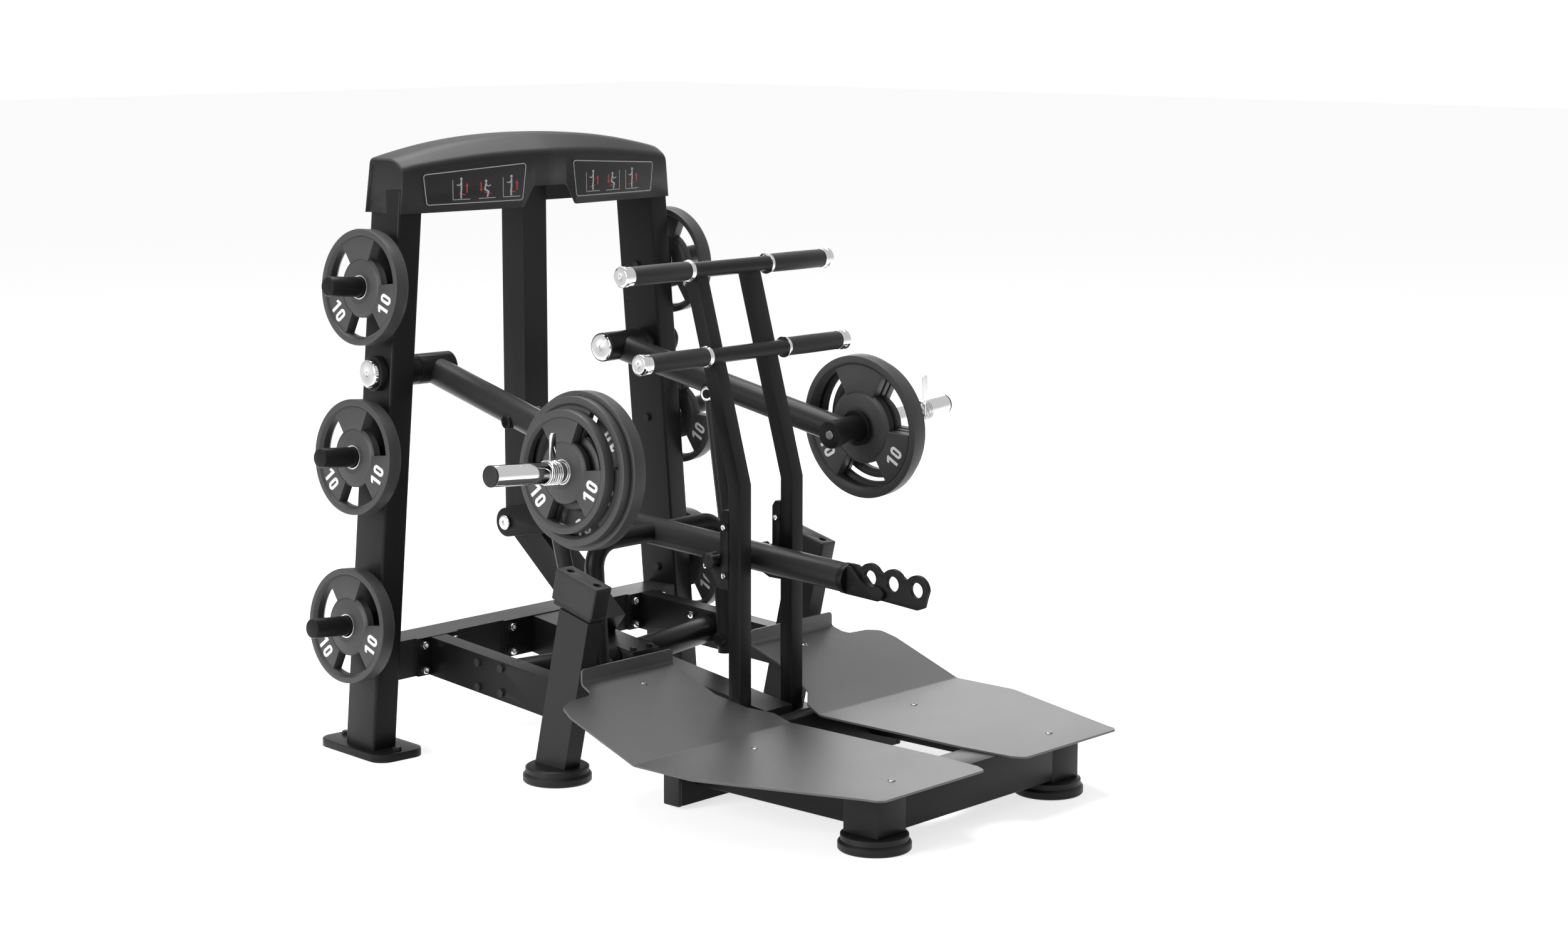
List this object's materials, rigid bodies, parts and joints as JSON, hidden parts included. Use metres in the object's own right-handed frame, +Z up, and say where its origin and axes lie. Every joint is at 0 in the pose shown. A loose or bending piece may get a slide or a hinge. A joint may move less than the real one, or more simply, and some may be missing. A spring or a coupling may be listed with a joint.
{
  "type": "belt squat machine",
  "caption": "Plate-loaded belt squat machine: hinged belt arm linked to two loading arms, latching handle frame, split foot platform, storage horns.",
  "frame": {"origin": "floor level under the middle of the bounding box", "axes": "+X to the right seen from the user's side, +Y from the foot platform to the uprights, +Z up; X = 0 is the mirror plane"},
  "size_m": [1.5976, 1.7398, 1.521],
  "materials": {
    "black_frame": "satin powder coat",
    "black_rubber": "matte",
    "tread_black": "fine non-slip grain",
    "hood_plastic": "matte",
    "chrome": "polished",
    "plate_grey": "satin",
    "grip_rubber": "matte"
  },
  "bodies": {
    "frame": {"upright_r": "black_frame", "upright_l": "black_frame", "rear_crossbeam": "black_frame", "rear_column": "black_frame", "centre_beam": "black_frame", "side_beam_r": "black_frame", "side_beam_l": "black_frame", "cross_tube_r": "black_frame", "cross_tube_l": "black_frame", "mid_leg_r": "black_frame", "mid_leg_l": "black_frame", "stop_block_r": "black_rubber", "stop_block_l": "black_rubber", "foot_mid_r": "black_rubber", "foot_mid_l": "black_rubber", "foot_front_r": "black_rubber", "foot_front_l": "black_rubber", "platform_frame": "black_frame", "foot_plate_r": "tread_black", "foot_plate_l": "tread_black", "hood": "hood_plastic", "pivot_axle_r": "chrome", "pivot_axle_l": "chrome", "belt_axle": "chrome", "handle_axle": "chrome", "horn_top_r": "black_frame", "horn_top_l": "black_frame", "horn_middle_r": "black_frame", "horn_middle_l": "black_frame", "horn_bottom_r": "black_frame", "horn_bottom_l": "black_frame"},
    "belt_arm": {"belt_arm": "black_frame", "belt_hook_plate": "black_frame"},
    "loading_arm_r": {"loading_arm_r": "black_frame", "sleeve_r": "chrome"},
    "loading_arm_l": {"loading_arm_l": "black_frame", "sleeve_l": "chrome"},
    "link_r": {"link_r": "black_frame"},
    "link_l": {"link_l": "black_frame"},
    "handle_frame": {"handle_frame": "black_frame", "grip_upper_r": "grip_rubber", "grip_upper_l": "grip_rubber", "grip_lower_r": "grip_rubber", "grip_lower_l": "grip_rubber", "latch_hook_r": "black_frame", "latch_hook_l": "black_frame"},
    "plate_large_r": {"plate_large_r": "plate_grey"},
    "plate_medium_r": {"plate_medium_r": "plate_grey"},
    "plate_small_r": {"plate_small_r": "plate_grey"},
    "spring_collar_r": {"spring_collar_r": "chrome"},
    "plate_large_l": {"plate_large_l": "plate_grey"},
    "plate_medium_l": {"plate_medium_l": "plate_grey"},
    "plate_small_l": {"plate_small_l": "plate_grey"},
    "spring_collar_l": {"spring_collar_l": "chrome"},
    "stored_plate_top_r": {"plate_top_r": "plate_grey"},
    "stored_plate_top_l": {"plate_top_l": "plate_grey"},
    "stored_plate_middle_r": {"plate_middle_r": "plate_grey"},
    "stored_plate_middle_l": {"plate_middle_l": "plate_grey"},
    "stored_plate_bottom_r": {"plate_bottom_r": "plate_grey"},
    "stored_plate_bottom_l": {"plate_bottom_l": "plate_grey"}
  },
  "joints": [
    {"name": "belt_arm_lift", "type": "hinge", "parent": "frame", "child": "belt_arm", "pos_m": [0, 0.73907, 0.514], "axis": [-1, 0, 0], "range_deg": [0, 15]},
    {"name": "loading_arm_lift_r", "type": "hinge", "parent": "frame", "child": "loading_arm_r", "pos_m": [0.3265, 0.69207, 0.949], "axis": [-0.9962, -0.0872, 0], "range_deg": [0, 21.72]},
    {"name": "link_swing_r", "type": "hinge", "parent": "loading_arm_r", "child": "link_r", "pos_m": [0.308, 0.34407, 0.853], "axis": [-0.9962, -0.0872, 0], "range_deg": [-18.05, 0]},
    {"name": "loading_arm_lift_l", "type": "hinge", "parent": "frame", "child": "loading_arm_l", "pos_m": [-0.3265, 0.69207, 0.949], "axis": [-0.9962, 0.0872, 0], "range_deg": [0, 21.72]},
    {"name": "link_swing_l", "type": "hinge", "parent": "loading_arm_l", "child": "link_l", "pos_m": [-0.308, 0.34407, 0.853], "axis": [-0.9962, 0.0872, 0], "range_deg": [-18.05, 0]},
    {"name": "handle_release", "type": "hinge", "parent": "frame", "child": "handle_frame", "pos_m": [0, -0.13193, 0.145], "axis": [1, 0, 0], "range_deg": [0, 12]},
    {"name": "plates_off_r", "type": "slide", "parent": "loading_arm_r", "child": "plate_large_r", "axis": [0.9973, 0, 0.0731], "range_m": [0, 0.36]},
    {"name": "plate_medium_off_r", "type": "slide", "parent": "loading_arm_r", "child": "plate_medium_r", "axis": [0.9973, 0, 0.0731], "range_m": [0, 0.36]},
    {"name": "plate_small_off_r", "type": "slide", "parent": "loading_arm_r", "child": "plate_small_r", "axis": [0.9973, 0, 0.0731], "range_m": [0, 0.36]},
    {"name": "spring_collar_off_r", "type": "slide", "parent": "loading_arm_r", "child": "spring_collar_r", "axis": [0.9973, 0, 0.0731], "range_m": [0, 0.36]},
    {"name": "plates_off_l", "type": "slide", "parent": "loading_arm_l", "child": "plate_large_l", "axis": [-0.9973, 0, 0.0731], "range_m": [0, 0.36]},
    {"name": "plate_medium_off_l", "type": "slide", "parent": "loading_arm_l", "child": "plate_medium_l", "axis": [-0.9973, 0, 0.0731], "range_m": [0, 0.36]},
    {"name": "plate_small_off_l", "type": "slide", "parent": "loading_arm_l", "child": "plate_small_l", "axis": [-0.9973, 0, 0.0731], "range_m": [0, 0.36]},
    {"name": "spring_collar_off_l", "type": "slide", "parent": "loading_arm_l", "child": "spring_collar_l", "axis": [-0.9973, 0, 0.0731], "range_m": [0, 0.36]},
    {"name": "stored_top_off_r", "type": "slide", "parent": "frame", "child": "stored_plate_top_r", "axis": [0.9962, 0, 0.0872], "range_m": [0, 0.16]},
    {"name": "stored_top_off_l", "type": "slide", "parent": "frame", "child": "stored_plate_top_l", "axis": [-0.9962, 0, 0.0872], "range_m": [0, 0.16]},
    {"name": "stored_middle_off_r", "type": "slide", "parent": "frame", "child": "stored_plate_middle_r", "axis": [0.9962, 0, 0.0872], "range_m": [0, 0.16]},
    {"name": "stored_middle_off_l", "type": "slide", "parent": "frame", "child": "stored_plate_middle_l", "axis": [-0.9962, 0, 0.0872], "range_m": [0, 0.16]},
    {"name": "stored_bottom_off_r", "type": "slide", "parent": "frame", "child": "stored_plate_bottom_r", "axis": [0.9962, 0, 0.0872], "range_m": [0, 0.16]},
    {"name": "stored_bottom_off_l", "type": "slide", "parent": "frame", "child": "stored_plate_bottom_l", "axis": [-0.9962, 0, 0.0872], "range_m": [0, 0.16]}
  ],
  "couplings": [
    {"joint": "loading_arm_lift_r", "follows": "belt_arm_lift", "ratio": 1.448},
    {"joint": "link_swing_r", "follows": "belt_arm_lift", "ratio": -1.203},
    {"joint": "loading_arm_lift_l", "follows": "belt_arm_lift", "ratio": 1.448},
    {"joint": "link_swing_l", "follows": "belt_arm_lift", "ratio": -1.203},
    {"joint": "handle_release", "follows": "belt_arm_lift", "ratio": 0.8},
    {"joint": "plate_medium_off_r", "follows": "plates_off_r", "ratio": 1},
    {"joint": "plate_small_off_r", "follows": "plates_off_r", "ratio": 1},
    {"joint": "spring_collar_off_r", "follows": "plates_off_r", "ratio": 1},
    {"joint": "plate_medium_off_l", "follows": "plates_off_l", "ratio": 1},
    {"joint": "plate_small_off_l", "follows": "plates_off_l", "ratio": 1},
    {"joint": "spring_collar_off_l", "follows": "plates_off_l", "ratio": 1}
  ]
}
